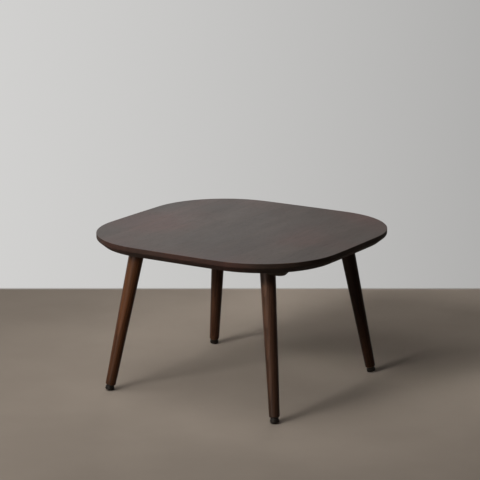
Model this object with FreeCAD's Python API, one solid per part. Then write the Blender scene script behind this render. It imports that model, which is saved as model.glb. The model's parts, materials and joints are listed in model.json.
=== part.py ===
import FreeCAD, Part
import math
import os

from FreeCAD import Placement, Rotation, Vector

# Coffee table: a round-cornered wooden top glued up from staves, two battens across its grain,
# and four splayed, tapered legs that end in screw-in glides.
# Millimetres. X runs along the battens, Y along the grain, +Z is up, and the floor is z = 0.

# Top
table_height = 440.0
top_length = 725.0
top_width = 690.0
top_thickness = 30.0
corner_radius = 228.0
side_bow_radius = 8500.0
edge_band_height = 13.5
edge_undercut = 20.0
top_arris = 0.4
edge_blend_radius = 5.0
under_arris = 1.5
stave_count = 7

# Legs: the insets run from the top's outline to the leg's axis, at the underside of the top
leg_inset_x = 155.5
leg_inset_y = 138.0
leg_splay = 12.0
leg_top_diameter = 42.0
leg_foot_diameter = 28.5
leg_top_chamfer = 1.0
leg_foot_round = 2.5

# Battens: the overhang runs from the leg's axis to the batten's end
batten_thickness = 21.0
batten_cheek = 8.0
batten_overhang = 65.0
batten_bevel = 12.0
batten_edge_round = 1.5
socket_depth = 8.0
socket_clearance = 0.3

# Hanger bolts, and the threaded inserts that they screw into
bolt_diameter = 8.0
bolt_leg_length = 45.0
bolt_tip_length = 8.0
bolt_tip_diameter = 2.0
bolt_end_margin = 1.0
bolt_end_chamfer = 0.8
batten_insert_diameter = 12.0
batten_insert_length = 10.0

# Batten screws and washers: the travel is how far an outer screw can follow the wood
screw_diameter = 4.5
screw_length = 32.0
screw_tip_length = 5.0
screw_head_diameter = 8.5
screw_head_height = 3.0
screw_recess_width = 1.2
screw_recess_length = 5.0
screw_recess_depth = 1.6
screw_slip = 0.3
slot_travel = 5.0
washer_diameter = 10.0
washer_thickness = 1.0
washer_clearance = 0.5
counterbore_depth = 5.5

# Glides: a threaded stud in a round base with a domed sole
glide_diameter = 25.0
glide_pad_height = 10.5
glide_pad_chamfer = 1.0
glide_edge_round = 2.0
glide_sole_radius = 40.0
glide_hub_diameter = 22.0
glide_hub_height = 5.0
glide_seat_gap = 0.2
stud_diameter = 8.0
stud_floor = 3.5
stud_engagement = 22.0
stud_chamfer = 0.8
stud_base_gap = 0.06
foot_insert_diameter = 12.0
foot_insert_length = 18.0
foot_insert_flange_diameter = 16.0
foot_insert_flange_thickness = 1.2

# Fits: the gap round a screwed or driven piece, and the empty end of a blind hole
thread_gap = 0.05
hole_spare = 1.0
pocket_spare = 0.4

# Heights and slopes that follow from the sizes above
splay = math.radians(leg_splay)
lean = math.tan(splay) / math.sqrt(2)
top_underside = table_height - top_thickness
batten_underside = top_underside - batten_thickness
stave_width = top_length / stave_count
leg_x = top_length / 2 - leg_inset_x
leg_y = top_width / 2 - leg_inset_y

# Stations along a leg's axis, measured from the point where the axis meets the floor
sole_apex = glide_sole_radius * (1 / math.cos(splay) - 1)
pad_top = sole_apex + glide_pad_height
hub_top = pad_top + glide_hub_height
leg_end = hub_top + glide_seat_gap
leg_seat = batten_underside / math.cos(splay) + socket_depth

# The legs' axes at the height of their seats, which the battens are centred on
seat_run = (top_underside - leg_seat * math.cos(splay)) * lean
seat_x = leg_x + seat_run
seat_y = leg_y + seat_run
batten_half_length = seat_x + batten_overhang
batten_width = leg_top_diameter + 2 * batten_cheek
socket_radius = leg_top_diameter / 2 + socket_clearance

# Heights of a batten screw's seat, which the washer bears on, and of its point
screw_seat = batten_underside + counterbore_depth
screw_head_top = screw_seat - washer_thickness
screw_point = screw_head_top + screw_length

corners = {
    "front_left": (-1, -1),
    "front_right": (1, -1),
    "back_right": (1, 1),
    "back_left": (-1, 1),
}
rows = {"front": -1, "back": 1}
up = Vector(0, 0, 1)
origin = Vector(0, 0, 0)


def turned(points):
    """A solid of revolution about +Z from a closed outline of (radius, height) points."""
    loop = [Vector(radius, 0, height) for radius, height in points]
    outline = Part.makePolygon(loop + loop[:1])
    return Part.Face(outline).revolve(origin, up, 360)


def rod(radius, low, high):
    """A plain cylinder on +Z between two heights."""
    return Part.makeCylinder(radius, high - low, Vector(0, 0, low))


def leg_frame(corner):
    """The placement that carries a leg's own axis, +Z from the floor, to its corner of the table."""
    side_x, side_y = corners[corner]
    foot = Vector(side_x * (leg_x + top_underside * lean), side_y * (leg_y + top_underside * lean), 0)
    inward = math.sin(splay) / math.sqrt(2)
    axis = Vector(-side_x * inward, -side_y * inward, math.cos(splay))
    return Placement(foot, Rotation(up, axis))


def at_leg(shape, corner):
    """A copy of a shape drawn on a leg's own axis, set at that leg's corner."""
    placed = shape.copy()
    placed.Placement = leg_frame(corner)
    return placed


def outline_arcs():
    """The top's outline as arcs in turn, each a centre, a radius and its first and last angle."""
    reach = side_bow_radius - corner_radius
    end_centre = Vector(top_length / 2 - side_bow_radius, 0, 0)
    side_centre = Vector(0, top_width / 2 - side_bow_radius, 0)
    span = side_centre - end_centre
    outward = Vector(-span.y, span.x, 0).normalize()
    rise = math.sqrt(reach ** 2 - (span.Length / 2) ** 2)
    corner_centre = (end_centre + side_centre) * 0.5 + outward * rise
    twin_centre = Vector(-corner_centre.x, corner_centre.y, 0)
    to_end = corner_centre - end_centre
    to_side = corner_centre - side_centre
    end_angle = math.degrees(math.atan2(to_end.y, to_end.x))
    side_angle = math.degrees(math.atan2(to_side.y, to_side.x))
    quarter_turns = [
        (end_centre, side_bow_radius, -end_angle, end_angle),
        (corner_centre, corner_radius, end_angle, side_angle),
        (side_centre, side_bow_radius, side_angle, 180 - side_angle),
        (twin_centre, corner_radius, 180 - side_angle, 180 - end_angle),
    ]
    arcs = []
    for turn in (0, 180):
        spin = Rotation(up, turn)
        for centre, radius, first, last in quarter_turns:
            arcs.append((spin.multVec(centre), radius, turn + first, turn + last))
    return arcs


def top_face(inset, height):
    """The flat face inside the top's outline, drawn in by inset."""
    edges = []
    for centre, radius, first, last in outline_arcs():
        edges.append(Part.makeCircle(radius - inset, centre + up * height, up, first, last))
    return Part.Face(Part.Wire(edges))


def cut_corner(before, corner, after, setback):
    """The two ends of a flat that takes off a corner, each setback away from it."""
    return corner + (before - corner).normalize() * setback, corner + (after - corner).normalize() * setback


def rounded_corner(before, corner, after, radius):
    """The start, middle and end of the arc that rounds a corner between two straight runs."""
    back = (before - corner).normalize()
    ahead = (after - corner).normalize()
    half_angle = back.getAngle(ahead) / 2
    bisector = (back + ahead).normalize()
    setback = radius / math.tan(half_angle)
    middle = corner + bisector * (radius / math.sin(half_angle) - radius)
    return corner + back * setback, middle, corner + ahead * setback


def edge_runs():
    """The top's edge in section, upper face to underside, as (inset, height) spots.

    Each run is a flat between two spots, or an arc through three.
    """
    upper = Vector(0, 0, table_height)
    lower = Vector(0, 0, table_height - edge_band_height)
    under = Vector(edge_undercut, 0, top_underside)
    inward = Vector(edge_undercut, 0, 0)
    top_flat = cut_corner(upper + inward, upper, lower, top_arris)
    blend = rounded_corner(upper, lower, under, edge_blend_radius)
    under_flat = cut_corner(lower, under, under + inward, under_arris)
    return [top_flat, (top_flat[-1], blend[0]), blend, (blend[-1], under_flat[0]), under_flat]


def edge_section(centre, radius, angle):
    """The edge's section as a wire, standing on the outline at one angle of one of its arcs."""
    outward = Rotation(up, angle).multVec(Vector(1, 0, 0))
    edges = []
    for run in edge_runs():
        spots = [centre + outward * (radius - spot.x) + up * spot.z for spot in run]
        if len(spots) == 2:
            edges.append(Part.makeLine(*spots))
        else:
            edges.append(Part.Arc(*spots).toShape())
    return Part.Wire(edges)


def edges_at(shape, height):
    """The edges of a shape that lie flat at one height."""
    flat = 1e-4
    return [edge for edge in shape.Edges
            if abs(edge.BoundBox.ZMin - height) < flat and abs(edge.BoundBox.ZMax - height) < flat]


def top_panel():
    """The whole glued-up top: an upright band at the edge, a long bevel under it, soft arrises."""
    runs = edge_runs()
    faces = [top_face(runs[0][0].x, table_height), top_face(runs[-1][-1].x, top_underside)]
    for centre, radius, first, last in outline_arcs():
        faces.extend(edge_section(centre, radius, first).revolve(centre, up, last - first).Faces)
    shell = Part.makeShell(faces)
    shell.sewShape()
    panel = Part.makeSolid(shell)
    if panel.Volume < 0:
        panel.reverse()
    return panel


def screw_places():
    """Where each batten's screws stand along X, with the free travel of each screw's slot."""
    socket_edge = seat_x + socket_radius
    outer = (socket_edge + batten_half_length - batten_bevel) / 2
    return [(-outer, slot_travel), (-stave_width, slot_travel), (0, 0),
            (stave_width, slot_travel), (outer, slot_travel)]


def round_ended(radius, straight, low, high):
    """An upright block with straight sides along X and half-round ends, or a rod with no straight."""
    if straight == 0:
        return rod(radius, low, high)
    half = straight / 2
    edges = [
        Part.makeLine(Vector(-half, -radius, low), Vector(half, -radius, low)),
        Part.Arc(Vector(half, -radius, low), Vector(half + radius, 0, low),
                 Vector(half, radius, low)).toShape(),
        Part.makeLine(Vector(half, radius, low), Vector(-half, radius, low)),
        Part.Arc(Vector(-half, radius, low), Vector(-half - radius, 0, low),
                 Vector(-half, -radius, low)).toShape(),
    ]
    return Part.Face(Part.Wire(edges)).extrude(Vector(0, 0, high - low))


def batten_screw():
    """A pan-head wood screw, point up, with a cross recess in its head."""
    shank = screw_diameter / 2
    head = screw_head_diameter / 2
    head_foot = screw_head_top - screw_head_height
    crown = screw_head_height / 3
    screw = turned([(0, head_foot), (head - crown, head_foot), (head, head_foot + crown),
                    (head, screw_head_top), (shank, screw_head_top),
                    (shank, screw_point - screw_tip_length), (0, screw_point)])
    for length, width in ((screw_recess_length, screw_recess_width),
                          (screw_recess_width, screw_recess_length)):
        corner = Vector(-length / 2, -width / 2, head_foot)
        screw = screw.cut(Part.makeBox(length, width, screw_recess_depth, corner))
    return screw


def batten_washer():
    """The flat washer between a screw's head and its seat."""
    disc = rod(washer_diameter / 2, screw_head_top, screw_seat)
    return disc.cut(rod(screw_diameter / 2 + screw_slip, screw_head_top, screw_seat))


def pilot_hole():
    """The hole that a screw cuts in the underside of the top."""
    radius = screw_diameter / 2 + thread_gap
    return rod(radius, screw_head_top, screw_point + hole_spare)


def batten_insert_pocket():
    """The blind hole for a threaded insert, above the leg's seat."""
    radius = batten_insert_diameter / 2 + thread_gap
    return rod(radius, leg_seat - hole_spare, leg_seat + batten_insert_length + pocket_spare)


def batten(row):
    """One round-ended batten, bevelled all round, with leg sockets, insert pockets and screw slots."""
    centre_y = rows[row] * seat_y
    straight = 2 * batten_half_length - batten_width
    block = round_ended(batten_width / 2, straight, batten_underside, top_underside)
    block = block.makeChamfer(batten_bevel, edges_at(block, batten_underside))
    block = block.makeFillet(batten_edge_round, edges_at(block, batten_underside))
    block = block.translated(Vector(0, centre_y, 0))

    below = socket_depth + leg_top_diameter
    socket = rod(socket_radius, leg_seat - below, leg_seat)
    cuts = []
    for corner, (side_x, side_y) in corners.items():
        if side_y == rows[row]:
            cuts.append(at_leg(socket, corner))
            cuts.append(at_leg(batten_insert_pocket(), corner))
    hole_radius = screw_diameter / 2 + screw_slip
    bore_radius = washer_diameter / 2 + washer_clearance
    for place, travel in screw_places():
        shift = Vector(place, centre_y, 0)
        hole = round_ended(hole_radius, travel, batten_underside - hole_spare, top_underside + hole_spare)
        counterbore = round_ended(bore_radius, travel, batten_underside - hole_spare, screw_seat)
        cuts.append(hole.translated(shift))
        cuts.append(counterbore.translated(shift))
    return block.cut(cuts)


def screw_group(piece, row):
    """One screw or washer at each place along a batten, as separate solids."""
    centre_y = rows[row] * seat_y
    places = [Vector(place, centre_y, 0) for place, travel in screw_places()]
    return Part.makeCompound([piece.translated(place) for place in places])


def staves(panel):
    """The top sawn into its staves, with the holes that the screws cut in them."""
    tools = []
    for row in rows:
        tools.extend(screw_group(pilot_hole(), row).Solids)
    for corner in corners:
        tools.append(at_leg(batten_insert_pocket(), corner))
    pieces = []
    for index in range(stave_count):
        left = index * stave_width - top_length / 2
        right = left + stave_width
        if index == 0:
            left = -top_length
        if index == stave_count - 1:
            right = top_length
        slab = Part.makeBox(right - left, 2 * top_width, 2 * table_height, Vector(left, -top_width, 0))
        pieces.append(panel.common(slab).cut(tools))
    return pieces


def leg():
    """A round leg, thickest at its seat, bored for its hanger bolt, foot insert and glide stud."""
    top_radius = leg_top_diameter / 2
    foot_radius = leg_foot_diameter / 2
    body = turned([(0, leg_end), (foot_radius, leg_end), (top_radius, leg_seat), (0, leg_seat)])
    body = body.makeFillet(leg_foot_round, edges_at(body, leg_end))
    body = body.makeChamfer(leg_top_chamfer, edges_at(body, leg_seat))
    insert_radius = foot_insert_diameter / 2 + thread_gap
    flange_radius = foot_insert_flange_diameter / 2 + thread_gap
    stud_radius = stud_diameter / 2 + thread_gap
    bolt_radius = bolt_diameter / 2 + thread_gap
    insert_top = leg_end + foot_insert_length + pocket_spare
    stud_top = leg_end + stud_engagement + hole_spare
    bolt_foot = leg_seat - bolt_leg_length - hole_spare
    return body.cut([rod(flange_radius, leg_end - hole_spare, leg_end + foot_insert_flange_thickness),
                     rod(insert_radius, leg_end - hole_spare, insert_top),
                     rod(stud_radius, leg_end - hole_spare, stud_top),
                     rod(bolt_radius, bolt_foot, leg_seat + hole_spare)])


def hanger_bolt():
    """A double-ended bolt: a pointed wood thread down in the leg, a machine thread up in the insert."""
    radius = bolt_diameter / 2
    point = leg_seat - bolt_leg_length
    top = leg_seat + batten_insert_length - bolt_end_margin
    return turned([(0, point), (bolt_tip_diameter / 2, point), (radius, point + bolt_tip_length),
                   (radius, top - bolt_end_chamfer), (radius - bolt_end_chamfer, top), (0, top)])


def batten_insert():
    """The threaded sleeve in the batten that takes the hanger bolt."""
    sleeve = rod(batten_insert_diameter / 2, leg_seat, leg_seat + batten_insert_length)
    bore = rod(bolt_diameter / 2 + thread_gap, leg_seat, leg_seat + batten_insert_length)
    return sleeve.cut(bore)


def foot_insert():
    """The flanged threaded sleeve in the leg's end that takes the glide's stud."""
    flange_top = leg_end + foot_insert_flange_thickness
    sleeve_top = leg_end + foot_insert_length
    bore = stud_diameter / 2 + thread_gap
    sleeve = foot_insert_diameter / 2
    flange = foot_insert_flange_diameter / 2
    return turned([(bore, leg_end), (flange, leg_end), (flange, flange_top), (sleeve, flange_top),
                   (sleeve, sleeve_top), (bore, sleeve_top)])


def glide_stud():
    """The glide's threaded stud, from inside its base up into the leg."""
    radius = stud_diameter / 2
    low = sole_apex + stud_floor + stud_base_gap
    high = leg_end + stud_engagement
    return turned([(0, low), (radius, low), (radius, high - stud_chamfer),
                   (radius - stud_chamfer, high), (0, high)])


def glide_base():
    """The glide's round base: a domed sole, a soft lower edge, a pad and a narrower hub round the stud."""
    radius = glide_diameter / 2
    hub = glide_hub_diameter / 2
    bore = stud_diameter / 2 + stud_base_gap
    bore_foot = sole_apex + stud_floor
    sole_edge = radius - glide_edge_round

    def sole_height(distance):
        return sole_apex + glide_sole_radius - math.sqrt(glide_sole_radius ** 2 - distance ** 2)

    def spot(distance, height):
        return Vector(distance, 0, height)

    edge_foot = sole_height(sole_edge)
    softened = glide_edge_round * math.sin(math.radians(45))
    sole = Part.Arc(spot(0, sole_apex), spot(sole_edge / 2, sole_height(sole_edge / 2)),
                    spot(sole_edge, edge_foot))
    soft_edge = Part.Arc(spot(sole_edge, edge_foot),
                         spot(sole_edge + softened, edge_foot + glide_edge_round - softened),
                         spot(radius, edge_foot + glide_edge_round))
    sides = Part.makePolygon([spot(radius, edge_foot + glide_edge_round),
                              spot(radius, pad_top - glide_pad_chamfer),
                              spot(radius - glide_pad_chamfer, pad_top),
                              spot(hub, pad_top), spot(hub, hub_top), spot(bore, hub_top),
                              spot(bore, bore_foot), spot(0, bore_foot), spot(0, sole_apex)])
    outline = Part.Wire([sole.toShape(), soft_edge.toShape()] + sides.Edges)
    return Part.Face(outline).revolve(origin, up, 360)


def write(node, shape):
    shape.exportStep("parts/" + node + ".step")


os.makedirs("parts", exist_ok=True)

for number, piece in enumerate(staves(top_panel()), start=1):
    write("top_stave_" + str(number), piece)
for row in rows:
    write("batten_" + row, batten(row))
    write("batten_screws_" + row, screw_group(batten_screw(), row))
    write("batten_washers_" + row, screw_group(batten_washer(), row))
for corner in corners:
    write("leg_" + corner, at_leg(leg(), corner))
    write("hanger_bolt_" + corner, at_leg(hanger_bolt(), corner))
    write("batten_insert_" + corner, at_leg(batten_insert(), corner))
    write("foot_insert_" + corner, at_leg(foot_insert(), corner))
    write("glide_stud_" + corner, at_leg(glide_stud(), corner))
    write("glide_base_" + corner, at_leg(glide_base(), corner))
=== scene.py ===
import json
import math
import random

import bpy
from mathutils import Euler, Matrix, Vector


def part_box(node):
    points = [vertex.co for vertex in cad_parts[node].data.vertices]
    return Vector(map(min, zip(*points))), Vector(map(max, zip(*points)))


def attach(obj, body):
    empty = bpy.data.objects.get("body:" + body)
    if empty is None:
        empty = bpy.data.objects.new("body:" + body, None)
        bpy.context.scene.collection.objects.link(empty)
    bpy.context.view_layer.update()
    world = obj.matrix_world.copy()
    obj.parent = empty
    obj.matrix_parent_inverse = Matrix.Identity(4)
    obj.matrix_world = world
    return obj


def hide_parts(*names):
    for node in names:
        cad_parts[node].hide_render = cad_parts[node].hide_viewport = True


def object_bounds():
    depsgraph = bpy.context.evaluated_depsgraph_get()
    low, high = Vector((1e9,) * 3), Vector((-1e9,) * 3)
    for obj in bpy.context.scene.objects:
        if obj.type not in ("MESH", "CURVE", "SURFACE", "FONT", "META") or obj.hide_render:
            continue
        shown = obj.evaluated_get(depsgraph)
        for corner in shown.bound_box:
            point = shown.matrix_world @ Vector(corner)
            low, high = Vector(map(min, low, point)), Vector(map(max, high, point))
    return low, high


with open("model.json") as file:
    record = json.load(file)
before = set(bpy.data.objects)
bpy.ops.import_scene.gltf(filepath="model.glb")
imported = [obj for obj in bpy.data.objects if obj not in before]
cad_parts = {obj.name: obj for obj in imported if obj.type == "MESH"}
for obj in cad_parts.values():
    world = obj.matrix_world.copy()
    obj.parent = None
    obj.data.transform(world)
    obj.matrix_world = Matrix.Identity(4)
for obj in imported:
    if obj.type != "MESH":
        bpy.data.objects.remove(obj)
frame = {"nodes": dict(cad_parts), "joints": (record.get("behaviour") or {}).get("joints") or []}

# A low coffee table in dark-stained wood: the finish of every piece, the threads of the glide studs,
# and a plain studio. Metres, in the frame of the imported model: +Z up, the floor at z = 0.

cad_low, cad_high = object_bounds()
nodes = frame["nodes"]
corners = ("front_left", "front_right", "back_right", "back_left")

# Camera, fitted to the photograph: azimuth from the front, pitch below the horizon, in degrees
camera_place = (2.7235, -4.3545, 1.640)
camera_azimuth = 32.1
camera_pitch = 13.485
camera_lens = 142.66
camera_turn = math.radians(camera_azimuth)
camera_reach = math.hypot(camera_place[0], camera_place[1])
view_away = (-math.sin(camera_turn), math.cos(camera_turn), 0)
view_right = (math.cos(camera_turn), math.sin(camera_turn), 0)

# Lights: azimuth, elevation and spread in degrees, sizes and distance in metres, power in watts.
# The key and the rear light are aimed over the table and spread little, so they fade towards the floor.
# They don't show in gloss, where they would glare on the top. The sheen light stands lower than the top
# and shows in gloss alone.
lights = dict(
    key=dict(azimuth=camera_azimuth - 47, elevation=33, distance=2.4, width=0.9, height=0.8, power=15.5,
             lift=0.75, spread=50, glossy=False),
    sheen=dict(azimuth=camera_azimuth - 42, elevation=-2, distance=2.4, width=0.9, height=0.28, power=11,
               diffuse=False),
    high=dict(azimuth=camera_azimuth - 62, elevation=62, distance=2.3, width=2.0, height=2.0, power=36),
    back=dict(azimuth=camera_azimuth - 145, elevation=25, distance=2.6, width=4.0, height=2.2, power=10),
    rear=dict(azimuth=camera_azimuth + 170, elevation=25, distance=2.4, width=1.2, height=0.8, power=4.0,
              lift=0.75, spread=50, glossy=False))
light_aim = Vector((0, 0, 0.6 * cad_high.z))
ambient_level = 0.006

# Backdrop: pale, falling off from left to right of the view, between these sideways shares of the distance
backdrop_left = (0.68, 0.675, 0.665)
backdrop_right = (0.15, 0.148, 0.144)
backdrop_span = (-0.28, 0.58)

# Floor: it ends in the backdrop behind the table, as seen by the camera, and far off on all sides.
# It throws only the bounce, a share of its tone, back onto the table. It is faintly clouded.
floor_tone = (0.390, 0.327, 0.270)
floor_bounce = 0.30
floor_radius = 12.0
floor_back = (0.993, 1.023)
floor_fade = (2.2, 3.6)
floor_drop = 0.0002
floor_sides = 96
floor_lumps = (3, 3, 3)
floor_cloud = (0.96, 1.04)

# Wood looks: the lighter and the darker tone of the grain, the worn tone of an edge; the lacquer's roughness,
# index and tint; how much more matt the edges are, and how much lighter, which is painted light on the sides
# and bevels of the top; how far a face is turned where it is worn;
# the growth rings' step, the streaks per metre, and the stains that cool and warm the tone in patches
top_look = dict(light=(0.0322, 0.0152, 0.0108), dark=(0.0202, 0.0092, 0.0064), worn=(0.09, 0.044, 0.024),
                roughness=0.39, index=1.30, gloss_tint=(1.0, 0.95, 0.94),
                edge_matt=0.26, edge_painted_light=1.24, wear_span=(0.45, 0.95),
                ring_step=0.0075, streaks=55, cool=(0.80, 1.02, 1.0), warm=(1.16, 0.98, 0.98))
leg_look = dict(light=(0.099, 0.0495, 0.0285), dark=(0.0130, 0.0062, 0.0035), worn=(0.10, 0.048, 0.022),
                roughness=0.42, index=1.34, gloss_tint=(1.0, 0.72, 0.60),
                edge_matt=0.0, edge_painted_light=1.0, wear_span=(0.25, 0.95),
                ring_step=0.0045, streaks=140, cool=(1.0, 1.0, 1.02), warm=(1.08, 0.98, 0.94))
# One copy of the leg look for each leg. The front left one is lighter, painted light; the back right one is
# much darker and less glossy, painted shade from the top above it; the back left one differs a little.
leg_looks_lit_and_shaded = dict(
    front_left=dict(leg_look, light=(0.150, 0.0580, 0.0215), dark=(0.0255, 0.0093, 0.0034), index=1.36),
    front_right=leg_look,
    back_right=dict(leg_look, light=(0.036, 0.0170, 0.0092), dark=(0.0050, 0.0023, 0.0013), index=1.25),
    back_left=dict(leg_look, light=(0.0940, 0.0430, 0.0225), dark=(0.0150, 0.0066, 0.0034)))
batten_look = dict(light=(0.070, 0.043, 0.029), dark=(0.028, 0.017, 0.011), worn=(0.10, 0.06, 0.036),
                   roughness=0.60, index=1.42, gloss_tint=(1.0, 0.9, 0.85),
                   edge_matt=0.0, edge_painted_light=1.0, wear_span=(0.3, 0.95),
                   ring_step=0.006, streaks=70, cool=(0.80, 1.02, 1.0), warm=(1.16, 0.98, 0.98))
stave_seed = 11
batten_seed = 31
leg_seed = 51

# What differs from board to board: slope of the grain, place of the heart aside and out of the face, tint
# of the stain, and shift of the noise along the grain
slope_most = 0.025
heart_aside = 0.03
heart_away = (0.05, 0.12)
tint_span = (0.86, 1.14)
shift_span = (1, 9)

# Wood grain: lumps of noise per metre across the grain, out of the face and along the grain, and the span
# of the noise in which a mark comes up
drift_lumps = (6, 6, 0.9)
drift_reach = 0.06
waver_lumps = (70, 70, 3)
waver_reach = 0.003
ring_rise = (0.2, 0.92)
ring_fall = (0.94, 1.0)
streak_stretch = 42
streak_span = (0.32, 0.68)
fibre_lumps = (620, 620, 9)
pore_lumps = (1700, 1700, 45)
pore_span = (0.60, 0.72)
stain_lumps = (9, 9, 4)
stain_span = (0.25, 0.75)
blush_lumps = (3.2, 3.2, 3.2)
blush_span = (0.36, 0.64)
rub_lumps = (35, 35, 14)
rub_span = (0.38, 0.66)
haze_lumps = (14, 14, 6)

# Wood shares: of the dark tone, of the tone kept, of the worn tone, of the roughness and of the relief.
# The turned span is of the cosine between a face and an axis.
ring_dark = 0.34
streak_dark = 0.30
fibre_dark = 0.36
stain_shades = (0.84, 1.12)
pore_shade = 0.62
end_shade = 0.80
turned_span = (0.55, 0.95)
wear_blend = 0.12
wear_share = 0.7
fibre_matt = 0.10
pore_matt = 0.12
haze_matt = 0.08
fibre_relief = 0.5
ring_relief = 0.15
wood_bump = dict(Strength=0.25, Distance=0.00015)

# Plated steel: the tones and the roughness of each plating, its clouds and its drawn marks
zinc_look = dict(bright=(0.66, 0.66, 0.65), dull=(0.48, 0.48, 0.47), roughness=0.34)
passivated_look = dict(bright=(0.62, 0.55, 0.38), dull=(0.47, 0.41, 0.29), roughness=0.38)
plating_lumps = (240, 240, 240)
plating_matt = 0.22
mark_lumps = (2600, 2600, 2600)
metal_bump = dict(Strength=0.12, Distance=0.00004)

# Moulded plastic of the glides: clean and scuffed, with most scuffs low down between these heights
clean_plastic = (0.0065, 0.0048, 0.0036)
scuffed_plastic = (0.024, 0.0185, 0.0140)
plastic_roughness = 0.40
plastic_index = 1.36
plastic_gloss_tint = (1.0, 0.88, 0.78)
grit_lumps = (3200, 3200, 3200)
grit_matt = 0.14
scuff_lumps = (160, 160, 420)
scuff_span = (0.50, 0.74)
scuff_heights = (0.001, 0.009)
scuff_least = 0.15
scuff_matt = 0.22
plastic_bump = dict(Strength=0.2, Distance=0.00006)

# Clouds of a plating or of the floor come up in this span of their noise
cloud_span = (0.3, 0.7)

# Glide studs: a metric thread, within the plain stud that it stands for. Crest and root are shares of the
# pitch, and each turn has a row at both ends of its root and of its crest.
thread_pitch = 0.00125
thread_depth = 0.00077
thread_crest = 0.16
thread_root = 0.28
thread_sides = 32
rows_per_turn = 4
plain_turns = 2
thread_sharp = math.radians(30)


class Graph:
    """The node tree of one material, or of the world."""

    def __init__(self, owner):
        owner.use_nodes = True
        self.tree = owner.node_tree
        self.tree.nodes.clear()

    def add(self, kind, inputs=None, **settings):
        """A new node with its settings, and its inputs linked or set."""
        node = self.tree.nodes.new("ShaderNode" + kind)
        for name, value in settings.items():
            setattr(node, name, value)
        for name, value in (inputs or {}).items():
            self.put(node.inputs[name], value)
        return node

    def put(self, socket, value):
        if isinstance(value, bpy.types.NodeSocket):
            self.tree.links.new(value, socket)
        else:
            socket.default_value = value

    def math(self, operation, *values):
        return self.add("Math", dict(enumerate(values)), operation=operation).outputs[0]

    def vector(self, operation, *values):
        return self.add("VectorMath", dict(enumerate(values)), operation=operation).outputs["Vector"]

    def dot(self, first, second):
        return self.add("VectorMath", {0: first, 1: second}, operation="DOT_PRODUCT").outputs["Value"]

    def length(self, value):
        return self.add("VectorMath", {0: value}, operation="LENGTH").outputs["Value"]

    def noise(self, place, lumps, detail=2.0):
        """Noise from 0 to 1 with so many lumps per metre along each axis."""
        scaled = self.vector("MULTIPLY", place, lumps)
        return self.add("TexNoise", {"Vector": scaled, "Scale": 1.0, "Detail": detail}).outputs[0]

    def step(self, value, low, high, first=0.0, last=1.0):
        """A smooth change from first to last as the value goes from low to high."""
        inputs = {"Value": value, "From Min": low, "From Max": high, "To Min": first, "To Max": last}
        return self.add("MapRange", inputs, interpolation_type="SMOOTHSTEP").outputs[0]

    def mix(self, factor, first, second, blend="MIX"):
        node = self.add("Mix", data_type="RGBA", blend_type=blend)
        for index, value in ((0, factor), (6, first), (7, second)):
            self.put(node.inputs[index], value)
        return node.outputs[2]

    def surface(self, shader):
        self.add("OutputMaterial", {"Surface": shader.outputs[0]})


def colour(tone):
    return (*tone, 1.0)


def grain_frame(grain, face, slope):
    """Rotation from the model's frame to a board's own: across, out of the face, along a sloping grain."""
    along = Vector(grain).normalized()
    across = along.cross(Vector(face)).normalized()
    out = across.cross(along)
    straight = Matrix((across, out, along))
    return Euler((slope[0], slope[1], 0)).to_matrix() @ straight


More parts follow.
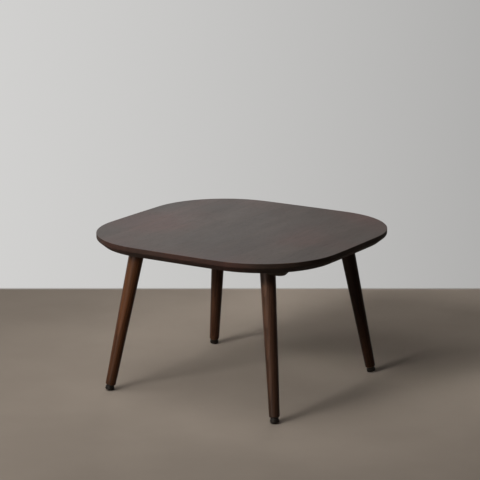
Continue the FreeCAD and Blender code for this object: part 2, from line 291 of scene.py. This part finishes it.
def wood(name, look, grain, face, middle, wear_axis, seed):
    """Stained and lacquered wood, solid through the board: growth rings about a heart, broad streaks,
    fibres and pores along the grain, patches of stain, darker end grain, lighter rubbed edges, and sides
    turned from the face made lighter as painted light."""
    draw = random.Random(seed)
    slope = (draw.uniform(-slope_most, slope_most), draw.uniform(-slope_most, slope_most))
    heart = Vector((draw.uniform(-heart_aside, heart_aside),
                    draw.choice((-1, 1)) * draw.uniform(*heart_away), 0))
    tint = draw.uniform(*tint_span)
    shift = (0, 0, draw.uniform(*shift_span))

    material = bpy.data.materials.new(name)
    g = Graph(material)
    source = g.add("TexCoord")
    turn = grain_frame(grain, face, slope)
    mapping = {"Vector": source.outputs["Object"], "Location": -(turn @ Vector(middle)),
               "Rotation": turn.to_euler()}
    board = g.add("Mapping", mapping).outputs[0]
    place = g.vector("ADD", board, shift)

    drift = g.noise(place, drift_lumps)
    waver = g.noise(place, waver_lumps)
    flat = g.vector("MULTIPLY", g.vector("SUBTRACT", board, heart), (1, 1, 0))
    spread = g.math("MULTIPLY_ADD", drift, drift_reach, g.length(flat))
    spread = g.math("MULTIPLY_ADD", waver, waver_reach, spread)
    phase = g.math("FRACT", g.math("DIVIDE", spread, look["ring_step"]))
    ring = g.math("MULTIPLY", g.step(phase, *ring_rise), g.step(phase, *ring_fall, 1.0, 0.0))

    streaks = look["streaks"]
    streak = g.step(g.noise(place, (streaks, streaks, streaks / streak_stretch), 3.0), *streak_span)
    fibre = g.noise(place, fibre_lumps, 3.0)
    pore = g.step(g.noise(place, pore_lumps, 1.0), *pore_span)
    stain = g.noise(place, stain_lumps)
    blush = g.step(g.noise(source.outputs["Object"], blush_lumps, 1.0), *blush_span)

    dark = g.math("MULTIPLY_ADD", ring, ring_dark, g.math("MULTIPLY", streak, streak_dark))
    dark = g.math("MULTIPLY_ADD", fibre, fibre_dark, dark)
    tone = g.mix(dark, colour(Vector(look["light"]) * tint), colour(Vector(look["dark"]) * tint))

    normal = source.outputs["Normal"]
    end = g.step(g.math("ABSOLUTE", g.dot(normal, Vector(grain).normalized())), *turned_span)
    shade = g.math("MULTIPLY", g.step(stain, *stain_span, *stain_shades),
                   g.step(pore, 0.0, 1.0, 1.0, pore_shade))
    shade = g.math("MULTIPLY", shade, g.step(end, 0.0, 1.0, 1.0, end_shade))
    facing = g.dot(normal, Vector(wear_axis).normalized())
    # Sides and bevels turned from the face take a lighter tone here: painted light.
    shade = g.math("MULTIPLY", shade, g.step(facing, *turned_span, look["edge_painted_light"], 1.0))
    tone = g.mix(1.0, tone, shade, "MULTIPLY")
    tone = g.mix(1.0, tone, g.mix(blush, colour(look["cool"]), colour(look["warm"])), "MULTIPLY")

    low, high = look["wear_span"]
    edge = g.math("MULTIPLY", g.step(facing, low, low + wear_blend),
                  g.step(facing, high - wear_blend, high, 1.0, 0.0))
    rubbed = g.math("MULTIPLY", edge, g.step(g.noise(place, rub_lumps, 4.0), *rub_span))
    tone = g.mix(g.math("MULTIPLY", rubbed, wear_share), tone, colour(look["worn"]))

    gloss = g.math("MULTIPLY_ADD", fibre, fibre_matt, look["roughness"] - fibre_matt / 2)
    gloss = g.math("MULTIPLY_ADD", pore, pore_matt, gloss)
    gloss = g.math("MULTIPLY_ADD", g.noise(place, haze_lumps, 3.0), haze_matt, gloss)
    gloss = g.math("ADD", gloss, g.step(facing, *turned_span, look["edge_matt"], 0.0))
    relief = g.math("MULTIPLY_ADD", fibre, fibre_relief, g.math("MULTIPLY", ring, ring_relief))
    relief = g.math("SUBTRACT", relief, pore)
    bump = g.add("Bump", {"Height": relief, **wood_bump})
    g.surface(g.add("BsdfPrincipled", {"Base Color": tone, "Roughness": gloss, "IOR": look["index"],
                                       "Specular Tint": colour(look["gloss_tint"]),
                                       "Normal": bump.outputs[0]}))
    return material


def metal(name, bright, dull, roughness):
    """Plated steel: cloudy plating, fine drawn marks and a soft gloss."""
    material = bpy.data.materials.new(name)
    g = Graph(material)
    place = g.add("TexCoord").outputs["Object"]
    cloud = g.noise(place, plating_lumps, 4.0)
    marks = g.noise(place, mark_lumps)
    tone = g.mix(g.step(cloud, *cloud_span), colour(bright), colour(dull))
    gloss = g.math("MULTIPLY_ADD", cloud, plating_matt, roughness - plating_matt / 2)
    bump = g.add("Bump", {"Height": marks, **metal_bump})
    g.surface(g.add("BsdfPrincipled", {"Base Color": tone, "Metallic": 1.0, "Roughness": gloss,
                                       "Normal": bump.outputs[0]}))
    return material


def plastic(name):
    """Brown-black moulded plastic: a fine spark texture, with dusty scuffs towards the sole."""
    material = bpy.data.materials.new(name)
    g = Graph(material)
    place = g.add("TexCoord").outputs["Object"]
    grit = g.noise(place, grit_lumps)
    scuff = g.step(g.noise(place, scuff_lumps, 5.0), *scuff_span)
    height = g.add("SeparateXYZ", {0: place}).outputs["Z"]
    low = g.step(height, *scuff_heights, 1.0, scuff_least)
    worn = g.math("MULTIPLY", scuff, low)
    tone = g.mix(worn, colour(clean_plastic), colour(scuffed_plastic))
    gloss = g.math("MULTIPLY_ADD", grit, grit_matt, plastic_roughness)
    gloss = g.math("MULTIPLY_ADD", worn, scuff_matt, gloss)
    bump = g.add("Bump", {"Height": grit, **plastic_bump})
    g.surface(g.add("BsdfPrincipled", {"Base Color": tone, "Roughness": gloss, "IOR": plastic_index,
                                       "Specular Tint": colour(plastic_gloss_tint),
                                       "Normal": bump.outputs[0]}))
    return material


def dress(names, material):
    """Gives these model nodes one material."""
    for name in names:
        nodes[name].material_slots[0].material = material


def middle_of(name):
    low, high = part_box(name)
    return (low + high) / 2


def leg_axis(corner):
    """Up a leg, as the travel of its glide runs down it."""
    travel = next(j for j in frame["joints"] if j["name"] == f"glide_{corner}_travel")
    return -Vector(travel["axis"])


def dress_wood():
    """Each board has its own heart, slope of grain and tint; the legs' looks also carry painted light and
    painted shade.
    """
    staves = sorted(name for name in nodes if name.startswith("top_stave_"))
    up = Vector((0, 0, 1))
    for seed, name in enumerate(staves, start=stave_seed):
        dress([name], wood(name, top_look, grain=(0, 1, 0), face=up, middle=middle_of(name),
                           wear_axis=up, seed=seed))
    for seed, side in enumerate(("front", "back"), start=batten_seed):
        name = "batten_" + side
        dress([name], wood(name, batten_look, grain=(1, 0, 0), face=-up, middle=middle_of(name),
                           wear_axis=-up, seed=seed))
    for seed, corner in enumerate(corners, start=leg_seed):
        name = "leg_" + corner
        axis = leg_axis(corner)
        # Each leg's look carries its painted light and painted shade.
        dress([name], wood(name, leg_looks_lit_and_shaded[corner], grain=axis, face=(1, 0, 0), middle=middle_of(name),
                           wear_axis=-axis, seed=seed))


def dress_hardware():
    zinc = metal("zinc_plating", **zinc_look)
    passivated = metal("yellow_passivated_zinc", **passivated_look)
    black = plastic("black_moulding")
    dress([n for n in nodes if n.startswith(("batten_screws", "batten_washers", "hanger_bolt"))], zinc)
    dress([n for n in nodes if n.startswith(("batten_insert", "foot_insert"))], passivated)
    dress([n for n in nodes if n.startswith("glide_base")], black)
    for corner in corners:
        threaded_stud(corner, zinc)


def thread_rows(low, high, major):
    """The thread's rows up a stud, each its height, its radius and its turn.
    A row climbs one pitch as it goes round."""
    minor = major - thread_depth
    flank = (1 - thread_crest - thread_root) / 2
    profile = ((0, minor), (thread_root, minor), (thread_root + flank, major), (1 - flank, major))
    turns = math.floor((high - low) / thread_pitch) - plain_turns
    start = (low + high - (turns + 1) * thread_pitch) / 2
    rows = [(start + (turn + share) * thread_pitch, radius, turn)
            for turn in range(turns) for share, radius in profile]
    return rows + [(start + turns * thread_pitch, minor, turns)]


def thread_spots(low, high, major):
    """Points of a threaded stud on +Z: its lower rim, the rows of its thread, which runs out at both ends,
    and its upper rim."""
    rows = thread_rows(low, high, major)
    minor = major - thread_depth
    last = rows[-1][2] - 1
    spots = []
    for height, radius, turn in [(low, minor, None)] + rows + [(high, minor, None)]:
        for side in range(thread_sides):
            share = side / thread_sides
            rise = 0 if turn is None else share * thread_pitch
            fade = {0: share, last: 1 - share}.get(turn, 1)
            reach = minor + (radius - minor) * fade
            angle = 2 * math.pi * share
            spots.append(Vector((reach * math.cos(angle), reach * math.sin(angle), height + rise)))
    return spots


def thread_faces(count):
    """Faces over a lower rim, this many rows of thread and an upper rim, closed where each turn meets
    the next."""
    def spot(row, side):
        return row * thread_sides + side

    sides = range(thread_sides)
    end = thread_sides - 1
    top = count + 1
    faces = [[spot(0, side) for side in reversed(sides)], [spot(top, side) for side in sides]]
    for row in range(top):
        for side in range(end):
            faces.append([spot(row, side), spot(row, side + 1), spot(row + 1, side + 1), spot(row + 1, side)])
    for row in range(1, top - rows_per_turn - 1):
        ahead = row + rows_per_turn
        faces.append([spot(row, end), spot(ahead, 0), spot(ahead + 1, 0), spot(row + 1, end)])
    first_seam = [spot(row, 0) for row in range(rows_per_turn + 2)]
    faces.append([spot(0, end)] + first_seam + [spot(1, end)])
    last_seam = [spot(row, end) for row in reversed(range(top - rows_per_turn - 1, top + 1))]
    faces.append([spot(top - 1, 0), spot(top, 0)] + last_seam)
    return faces


def threaded_stud(corner, material):
    """The glide's stud with its thread cut as a helix, in the place of the plain stud."""
    node = "glide_stud_" + corner
    hinge = next(j for j in frame["joints"] if j["name"] == f"glide_{corner}_turn")
    foot = Vector(hinge["pos_m"])
    axis = leg_axis(corner)
    turn = axis.to_track_quat("Z", "Y").to_matrix()
    points = [turn.transposed() @ (v.co - foot) for v in nodes[node].data.vertices]
    low = min(p.z for p in points)
    high = max(p.z for p in points)
    major = max(p.xy.length for p in points)

    count = len(thread_rows(low, high, major))
    mesh = bpy.data.meshes.new("stud_thread_" + corner)
    mesh.from_pydata([foot + turn @ spot for spot in thread_spots(low, high, major)], [], thread_faces(count))
    mesh.polygons.foreach_set("use_smooth", [True] * len(mesh.polygons))
    mesh.set_sharp_from_angle(angle=thread_sharp)
    mesh.materials.append(material)
    stud = bpy.data.objects.new(mesh.name, mesh)
    bpy.context.scene.collection.objects.link(stud)
    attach(stud, "stud_" + corner)
    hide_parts(node)


def studio_light(name, azimuth, elevation, distance, width, height, power, lift=0.0, spread=180,
                 diffuse=True, glossy=True):
    """A soft rectangular light aimed at the table or this far over it, not seen by the camera itself."""
    lamp = bpy.data.lights.new(name, "AREA")
    lamp.shape = "RECTANGLE"
    lamp.size = width
    lamp.size_y = height
    lamp.energy = power
    lamp.spread = math.radians(spread)
    light = bpy.data.objects.new(name, lamp)
    side = math.radians(azimuth)
    rise = math.radians(elevation)
    towards = Vector((math.sin(side) * math.cos(rise), -math.cos(side) * math.cos(rise), math.sin(rise)))
    light.location = light_aim + distance * towards
    aim = light_aim + Vector((0, 0, lift))
    light.rotation_euler = (aim - light.location).to_track_quat("-Z", "Y").to_euler()
    light.visible_camera = False
    light.visible_diffuse = diffuse
    light.visible_glossy = glossy
    bpy.context.scene.collection.objects.link(light)


def seen_directly(g):
    """1 for what the camera sees straight, in gloss or through glass, and 0 for the light that falls
    on things."""
    path = g.add("LightPath")
    shown = g.math("MAXIMUM", path.outputs["Is Camera Ray"], path.outputs["Is Glossy Ray"])
    return g.math("MAXIMUM", shown, path.outputs["Is Transmission Ray"])


def backdrop_tone(g, sideways):
    """The backdrop's tone, from its left to its right tone."""
    return g.mix(g.step(sideways, *backdrop_span), colour(backdrop_left), colour(backdrop_right))


def backdrop_world():
    world = bpy.data.worlds.new("backdrop")
    bpy.context.scene.world = world
    g = Graph(world)
    sideways = g.dot(g.add("TexCoord").outputs["Generated"], view_right)
    dim = g.add("Background", {"Color": (1, 1, 1, 1), "Strength": ambient_level})
    pale = g.add("Background", {"Color": backdrop_tone(g, sideways), "Strength": 1.0})
    both = g.add("MixShader", {0: seen_directly(g), 1: dim.outputs[0], 2: pale.outputs[0]})
    g.add("OutputWorld", {"Surface": both.outputs[0]})


def pale_floor():
    """A pale floor that fades into the backdrop, open to the eye from below."""
    angles = [2 * math.pi * side / floor_sides for side in range(floor_sides)]
    ring = [(floor_radius * math.cos(a), floor_radius * math.sin(a), -floor_drop) for a in angles]
    mesh = bpy.data.meshes.new("floor")
    mesh.from_pydata(ring, [], [range(floor_sides)])
    floor = bpy.data.objects.new("floor", mesh)
    bpy.context.scene.collection.objects.link(floor)

    material = bpy.data.materials.new("pale_floor")
    g = Graph(material)
    place = g.add("TexCoord").outputs["Object"]
    cloud = g.step(g.noise(place, floor_lumps, 4.0), *cloud_span, *floor_cloud)
    tone = g.mix(1.0, colour(floor_tone), cloud, "MULTIPLY")
    seen = seen_directly(g)
    matt = g.add("BsdfDiffuse", {"Color": g.mix(seen, colour(Vector(floor_tone) * floor_bounce), tone)})
    depth = g.dot(place, view_away)
    reach = g.math("MAXIMUM", g.math("ADD", depth, camera_reach), camera_reach / 2)
    sideways = g.math("DIVIDE", g.dot(place, view_right), reach)
    pale = g.add("Emission", {"Color": backdrop_tone(g, sideways), "Strength": seen})
    far = g.math("MAXIMUM", g.step(depth, *floor_back), g.step(g.length(place), *floor_fade))
    blend = g.add("MixShader", {0: far, 1: matt.outputs[0], 2: pale.outputs[0]})
    below = g.add("NewGeometry").outputs["Backfacing"]
    g.surface(g.add("MixShader", {0: below, 1: blend.outputs[0], 2: g.add("BsdfTransparent").outputs[0]}))
    mesh.materials.append(material)


def photo_camera():
    camera = bpy.data.objects.new("camera", bpy.data.cameras.new("camera"))
    camera.data.lens = camera_lens
    camera.location = camera_place
    camera.rotation_euler = (math.radians(90 - camera_pitch), 0, camera_turn)
    bpy.context.scene.collection.objects.link(camera)
    bpy.context.scene.camera = camera


dress_wood()
dress_hardware()
backdrop_world()
pale_floor()
for light_name, light_setting in lights.items():
    studio_light(light_name, **light_setting)
photo_camera()
bpy.context.scene.view_settings.view_transform = "Standard"
